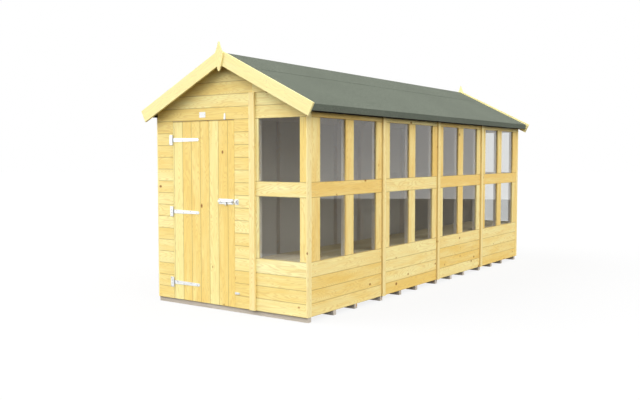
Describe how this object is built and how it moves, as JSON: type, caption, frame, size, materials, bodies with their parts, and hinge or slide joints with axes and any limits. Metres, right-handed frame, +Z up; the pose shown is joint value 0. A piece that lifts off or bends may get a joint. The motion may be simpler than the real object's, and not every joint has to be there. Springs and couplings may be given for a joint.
{
  "type": "potting shed",
  "caption": "Long timber potting shed with a felted apex roof, shiplap walls, a fully glazed long wall and a hinged plank door in one gable end.",
  "frame": {"origin": "on the ground, at the middle of the shed's length and width", "axes": "+Z up, +Y from the door end to the back end along the length, +X towards the glazed long wall"},
  "size_m": [2.02, 5.076, 2.3996],
  "materials": {
    "cladding_timber": "sawn and planed softwood, pale yellow, small knots",
    "trim_timber": "planed softwood, pale yellow",
    "frame_timber": "sawn softwood",
    "floor_timber": "planed softwood",
    "bench_timber": "planed softwood, pale",
    "bearer_timber": "pressure-treated softwood, grey-beige",
    "roof_timber": "planed softwood",
    "barge_timber": "planed softwood, light",
    "door_timber": "planed softwood, pale yellow",
    "roofing_felt": "mineral-surfaced bitumen felt, grey-green",
    "glazing": "clear, flat",
    "zinc_steel": "bright zinc plate"
  },
  "bodies": {
    "shed": {"back_solid_panel_cladding": "cladding_timber", "back_solid_panel_frame": "frame_timber", "back_window_panel_cladding": "cladding_timber", "back_window_panel_frame": "frame_timber", "back_window_panel_trim": "trim_timber", "bargeboards": "barge_timber", "bench_boards": "bench_timber", "bench_frame": "frame_timber", "bolt_keep": "zinc_steel", "cover_strips": "trim_timber", "eave_fascias": "frame_timber", "end_glazing": "glazing", "finials": "barge_timber", "floor_bearers": "bearer_timber", "floor_boards": "floor_timber", "front_door_panel_cladding": "cladding_timber", "front_door_panel_frame": "frame_timber", "front_window_panel_cladding": "cladding_timber", "front_window_panel_frame": "frame_timber", "front_window_panel_trim": "trim_timber", "gable_cladding": "cladding_timber", "gable_frames": "frame_timber", "hinge_leaves": "zinc_steel", "hinge_pins": "zinc_steel", "left_panel_1_cladding": "cladding_timber", "left_panel_1_frame": "frame_timber", "left_panel_2_cladding": "cladding_timber", "left_panel_2_frame": "frame_timber", "left_panel_3_cladding": "cladding_timber", "left_panel_3_frame": "frame_timber", "left_panel_4_cladding": "cladding_timber", "left_panel_4_frame": "frame_timber", "right_panel_1_cladding": "cladding_timber", "right_panel_1_frame": "frame_timber", "right_panel_1_window_trim": "trim_timber", "right_panel_2_cladding": "cladding_timber", "right_panel_2_frame": "frame_timber", "right_panel_2_window_trim": "trim_timber", "right_panel_3_cladding": "cladding_timber", "right_panel_3_frame": "frame_timber", "right_panel_3_window_trim": "trim_timber", "right_panel_4_cladding": "cladding_timber", "right_panel_4_frame": "frame_timber", "right_panel_4_window_trim": "trim_timber", "roof_battens": "frame_timber", "roof_boards_left": "roof_timber", "roof_boards_right": "roof_timber", "roof_felt_left": "roofing_felt", "roof_felt_ridge": "roofing_felt", "roof_felt_right": "roofing_felt", "roof_trusses": "frame_timber", "side_glazing": "glazing", "turn_button_screws": "zinc_steel"},
    "door": {"door_boards": "door_timber", "door_ledges": "door_timber", "hinge_straps": "zinc_steel", "bolt_plate": "zinc_steel"},
    "bolt": {"bolt_bar": "zinc_steel"},
    "top_button": {"turn_button_top": "zinc_steel"},
    "side_button": {"turn_button_side": "zinc_steel"}
  },
  "joints": [
    {"name": "door_swing", "type": "hinge", "parent": "shed", "child": "door", "pos_m": [-0.677, -2.4453, 0.883], "axis": [0, 0, -1], "range_deg": [0, 170]},
    {"name": "bolt_slide", "type": "slide", "parent": "door", "child": "bolt", "axis": [1, 0, 0], "range_m": [0, 0.04]},
    {"name": "top_button_turn", "type": "hinge", "parent": "shed", "child": "top_button", "pos_m": [-0.0185, -2.4426, 1.736], "axis": [0, 1, 0], "range_deg": [0, 180]},
    {"name": "side_button_turn", "type": "hinge", "parent": "shed", "child": "side_button", "pos_m": [0.1025, -2.4426, 0.174], "axis": [0, 1, 0], "range_deg": [0, 180]}
  ]
}
